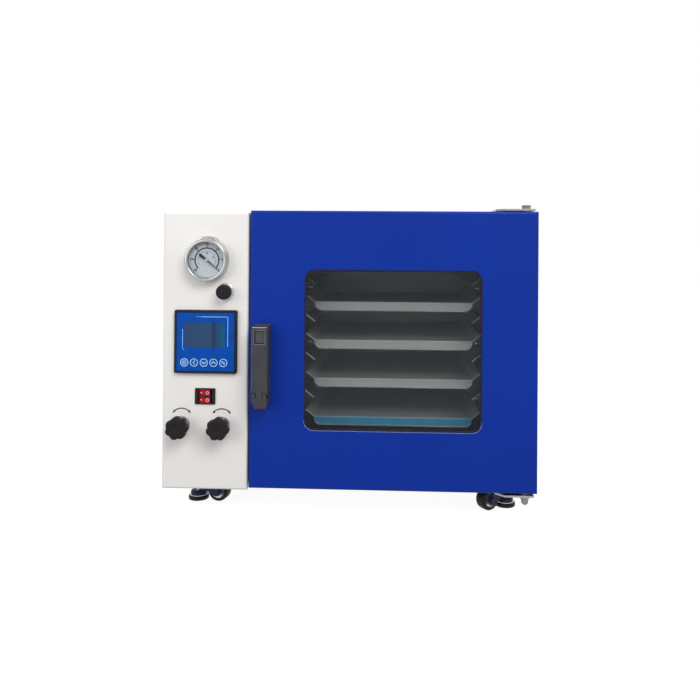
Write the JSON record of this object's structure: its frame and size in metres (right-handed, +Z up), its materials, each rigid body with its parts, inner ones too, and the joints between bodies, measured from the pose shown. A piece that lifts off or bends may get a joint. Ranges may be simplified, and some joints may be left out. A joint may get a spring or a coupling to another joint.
{
  "type": "vacuum oven",
  "caption": "Benchtop vacuum oven: white control bay with gauge and knobs, blue hinged door with a window, shelves in a steel chamber, on levelling casters.",
  "frame": {"origin": "centre of the bounding box in X and Y, on the floor under the feet", "axes": "+X to the right seen from the front, +Y from the door to the rear, +Z up"},
  "size_m": [0.58, 0.5042, 0.484],
  "materials": {
    "cabinet_white": "satin",
    "frame_steel": "satin",
    "door_blue": "satin",
    "door_inner": "satin",
    "chamber_steel": "satin",
    "shelf_metal": "satin",
    "seal_rubber": "matte",
    "heater_pad": "matte",
    "fibre": "matte",
    "window_glass": "gloss",
    "lens_glass": "gloss",
    "lamp": "gloss",
    "stainless": "satin",
    "handle_grey": "satin",
    "button_grey": "satin",
    "bezel_chrome": "polished",
    "dial_white": "satin",
    "pointer_black": "satin",
    "controller_blue": "satin",
    "display": "gloss",
    "key_blue": "satin",
    "switch_black": "satin",
    "rocker_red": "gloss",
    "knob_black": "satin",
    "valve_brass": "satin",
    "inlet_black": "satin",
    "yoke_blue": "satin",
    "wheel_black": "satin",
    "foot_steel": "satin"
  },
  "bodies": {
    "cabinet": {"outer_shell": "cabinet_white", "base_plate": "frame_steel", "rear_panel": "cabinet_white", "front_frame": "frame_steel", "control_fascia": "cabinet_white", "kingpins": "stainless", "chamber": "chamber_steel", "chamber_gasket": "seal_rubber", "jacket_heaters": "heater_pad", "insulation": "fibre", "rack_left": "chamber_steel", "rack_right": "chamber_steel", "hinge_plates": "stainless", "hinge_pins": "stainless", "gauge_case": "bezel_chrome", "gauge_dial": "dial_white", "gauge_lens": "lens_glass", "controller_housing": "controller_blue", "display_window": "display", "switch_housing": "switch_black", "fuse_holder": "switch_black", "vacuum_manifold": "valve_brass", "vacuum_port": "stainless", "power_inlet": "inlet_black", "shelf_1": "shelf_metal", "shelf_2": "shelf_metal", "shelf_3": "shelf_metal", "shelf_4": "shelf_metal"},
    "door": {"door_shell": "door_blue", "door_inner_plate": "door_inner", "outer_pane": "window_glass", "inner_glass": "window_glass", "led_bars": "lamp", "handle_base": "handle_grey"},
    "latch": {"latch_cam": "handle_grey"},
    "lever": {"handle_lever": "handle_grey"},
    "lever_button": {"handle_button": "button_grey"},
    "gauge_needle": {"gauge_pointer": "pointer_black"},
    "power_rocker": {"rocker_power": "rocker_red"},
    "light_rocker": {"rocker_light": "rocker_red"},
    "fuse_top": {"fuse_cap": "knob_black"},
    "vent_valve_knob": {"vent_knob": "knob_black"},
    "pump_valve_knob": {"vacuum_knob": "knob_black"},
    "panel_key_1": {"key_1": "key_blue"},
    "panel_key_2": {"key_2": "key_blue"},
    "panel_key_3": {"key_3": "key_blue"},
    "panel_key_4": {"key_4": "key_blue"},
    "panel_key_5": {"key_5": "key_blue"},
    "swivel_fl": {"caster_yoke_fl": "yoke_blue"},
    "wheel_fl": {"caster_wheel_fl": "wheel_black"},
    "foot_fl": {"caster_foot_fl": "foot_steel"},
    "swivel_fr": {"caster_yoke_fr": "yoke_blue"},
    "wheel_fr": {"caster_wheel_fr": "wheel_black"},
    "foot_fr": {"caster_foot_fr": "foot_steel"},
    "swivel_rl": {"caster_yoke_rl": "yoke_blue"},
    "wheel_rl": {"caster_wheel_rl": "wheel_black"},
    "foot_rl": {"caster_foot_rl": "foot_steel"},
    "swivel_rr": {"caster_yoke_rr": "yoke_blue"},
    "wheel_rr": {"caster_wheel_rr": "wheel_black"},
    "foot_rr": {"caster_foot_rr": "foot_steel"}
  },
  "joints": [
    {"name": "door_hinge", "type": "hinge", "parent": "cabinet", "child": "door", "pos_m": [0.2735, -0.20785, 0.2585], "axis": [0, 0, 1], "range_deg": [0, 165]},
    {"name": "handle_swing", "type": "hinge", "parent": "door", "child": "latch", "pos_m": [-0.132, -0.22385, 0.183], "axis": [0, 1, 0], "range_deg": [0, 90]},
    {"name": "handle_tilt", "type": "hinge", "parent": "latch", "child": "lever", "pos_m": [-0.132, -0.24065, 0.2], "axis": [1, 0, 0], "range_deg": [0, 25]},
    {"name": "handle_button_push", "type": "slide", "parent": "lever", "child": "lever_button", "axis": [0, 1, 0], "range_m": [0, 0.003], "stiffness_N_per_m": 800, "springref_m": -0.001},
    {"name": "gauge_needle_turn", "type": "hinge", "parent": "cabinet", "child": "gauge_needle", "pos_m": [-0.219, -0.22985, 0.396], "axis": [0, -1, 0], "range_deg": [0, 258], "stiffness_Nm_per_rad": 0.004},
    {"name": "key_1_push", "type": "slide", "parent": "cabinet", "child": "panel_key_1", "axis": [0, 1, 0], "range_m": [0, 0.0008], "stiffness_N_per_m": 1500, "springref_m": -0.0003},
    {"name": "key_2_push", "type": "slide", "parent": "cabinet", "child": "panel_key_2", "axis": [0, 1, 0], "range_m": [0, 0.0008], "stiffness_N_per_m": 1500, "springref_m": -0.0003},
    {"name": "key_3_push", "type": "slide", "parent": "cabinet", "child": "panel_key_3", "axis": [0, 1, 0], "range_m": [0, 0.0008], "stiffness_N_per_m": 1500, "springref_m": -0.0003},
    {"name": "key_4_push", "type": "slide", "parent": "cabinet", "child": "panel_key_4", "axis": [0, 1, 0], "range_m": [0, 0.0008], "stiffness_N_per_m": 1500, "springref_m": -0.0003},
    {"name": "key_5_push", "type": "slide", "parent": "cabinet", "child": "panel_key_5", "axis": [0, 1, 0], "range_m": [0, 0.0008], "stiffness_N_per_m": 1500, "springref_m": -0.0003},
    {"name": "power_rocker_tip", "type": "hinge", "parent": "cabinet", "child": "power_rocker", "pos_m": [-0.222, -0.21735, 0.1789], "axis": [0, 0, 1], "range_deg": [0, 24]},
    {"name": "light_rocker_tip", "type": "hinge", "parent": "cabinet", "child": "light_rocker", "pos_m": [-0.222, -0.21735, 0.1901], "axis": [0, 0, 1], "range_deg": [0, 24]},
    {"name": "fuse_cap_turn", "type": "hinge", "parent": "cabinet", "child": "fuse_top", "pos_m": [-0.1915, -0.22485, 0.347], "axis": [0, -1, 0], "range_deg": [0, 90]},
    {"name": "vent_valve_knob_turn", "type": "hinge", "parent": "cabinet", "child": "vent_valve_knob", "pos_m": [-0.259, -0.22385, 0.14], "axis": [0, -1, 0], "range_deg": [0, 720]},
    {"name": "pump_valve_knob_turn", "type": "hinge", "parent": "cabinet", "child": "pump_valve_knob", "pos_m": [-0.196, -0.22385, 0.14], "axis": [0, -1, 0], "range_deg": [0, 720]},
    {"name": "caster_swivel_fl", "type": "hinge", "parent": "cabinet", "child": "swivel_fl", "pos_m": [-0.252, -0.14885, 0.0517], "axis": [0, 0, 1], "continuous": true},
    {"name": "caster_roll_fl", "type": "hinge", "parent": "swivel_fl", "child": "wheel_fl", "pos_m": [-0.21483, -0.15675, 0.018], "axis": [0.2079, 0.9781, 0], "continuous": true},
    {"name": "caster_foot_screw_fl", "type": "slide", "parent": "swivel_fl", "child": "foot_fl", "axis": [0, 0, 1], "range_m": [-0.006, 0.006]},
    {"name": "caster_swivel_fr", "type": "hinge", "parent": "cabinet", "child": "swivel_fr", "pos_m": [0.252, -0.14885, 0.0517], "axis": [0, 0, 1], "continuous": true},
    {"name": "caster_roll_fr", "type": "hinge", "parent": "swivel_fr", "child": "wheel_fr", "pos_m": [0.22087, -0.17065, 0.018], "axis": [0.5736, -0.8192, 0], "continuous": true},
    {"name": "caster_foot_screw_fr", "type": "slide", "parent": "swivel_fr", "child": "foot_fr", "axis": [0, 0, 1], "range_m": [-0.006, 0.006]},
    {"name": "caster_swivel_rl", "type": "hinge", "parent": "cabinet", "child": "swivel_rl", "pos_m": [-0.252, 0.17565, 0.0517], "axis": [0, 0, 1], "continuous": true},
    {"name": "caster_roll_rl", "type": "hinge", "parent": "swivel_rl", "child": "wheel_rl", "pos_m": [-0.21677, 0.16142, 0.018], "axis": [0.3746, 0.9272, 0], "continuous": true},
    {"name": "caster_foot_screw_rl", "type": "slide", "parent": "swivel_rl", "child": "foot_rl", "axis": [0, 0, 1], "range_m": [-0.006, 0.006]},
    {"name": "caster_swivel_rr", "type": "hinge", "parent": "cabinet", "child": "swivel_rr", "pos_m": [0.252, 0.17565, 0.0517], "axis": [0, 0, 1], "continuous": true},
    {"name": "caster_roll_rr", "type": "hinge", "parent": "swivel_rr", "child": "wheel_rr", "pos_m": [0.21629, 0.18865, 0.018], "axis": [-0.342, -0.9397, 0], "continuous": true},
    {"name": "caster_foot_screw_rr", "type": "slide", "parent": "swivel_rr", "child": "foot_rr", "axis": [0, 0, 1], "range_m": [-0.006, 0.006]}
  ]
}
